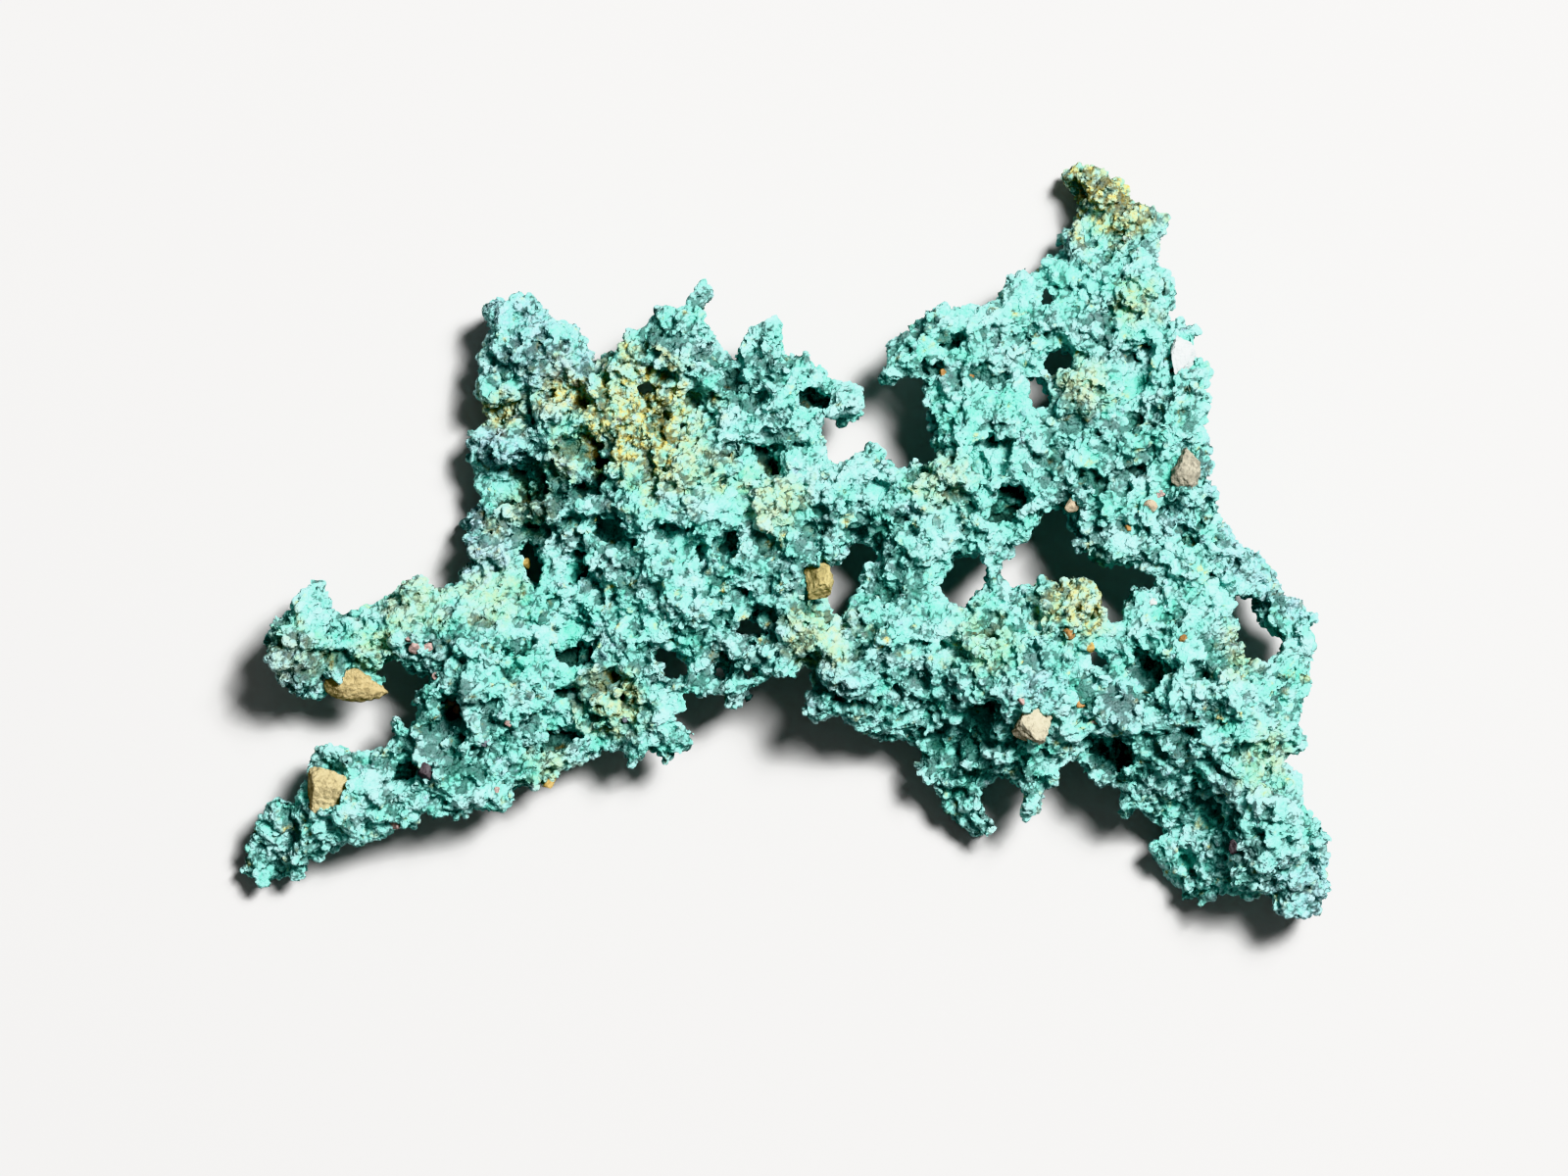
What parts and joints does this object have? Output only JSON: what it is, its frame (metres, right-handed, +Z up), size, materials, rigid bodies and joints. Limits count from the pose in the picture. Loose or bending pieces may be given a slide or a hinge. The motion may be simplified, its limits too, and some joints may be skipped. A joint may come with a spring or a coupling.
{
  "type": "native copper nugget",
  "caption": "Lacy, branching nugget of native copper sponge under a granular green crust, with crumbs of host rock caught in it, lying flat",
  "frame": {"origin": "on the surface that the nugget lies on, under the middle of its box", "axes": "+Z up from that surface, +X along its length from the arms to the foot, +Y towards the spire"},
  "size_m": [0.06, 0.0418, 0.011],
  "materials": {
    "green_crust": "matte, granular turquoise-green copper carbonate crust over native copper",
    "ochre_rock": "matte sandy ochre",
    "tan_rock": "matte sandy tan",
    "quartz": "white, slightly glassy"
  },
  "bodies": {
    "root": {"copper_nugget": "green_crust", "quartz_grain": "quartz", "ochre_crumb_lower_arm": "ochre_rock", "ochre_crumb_upper_arm": "ochre_rock", "ochre_crumb_bridge": "ochre_rock", "tan_crumb_lower_band": "tan_rock", "tan_crumb_right_edge": "tan_rock"}
  },
  "joints": []
}
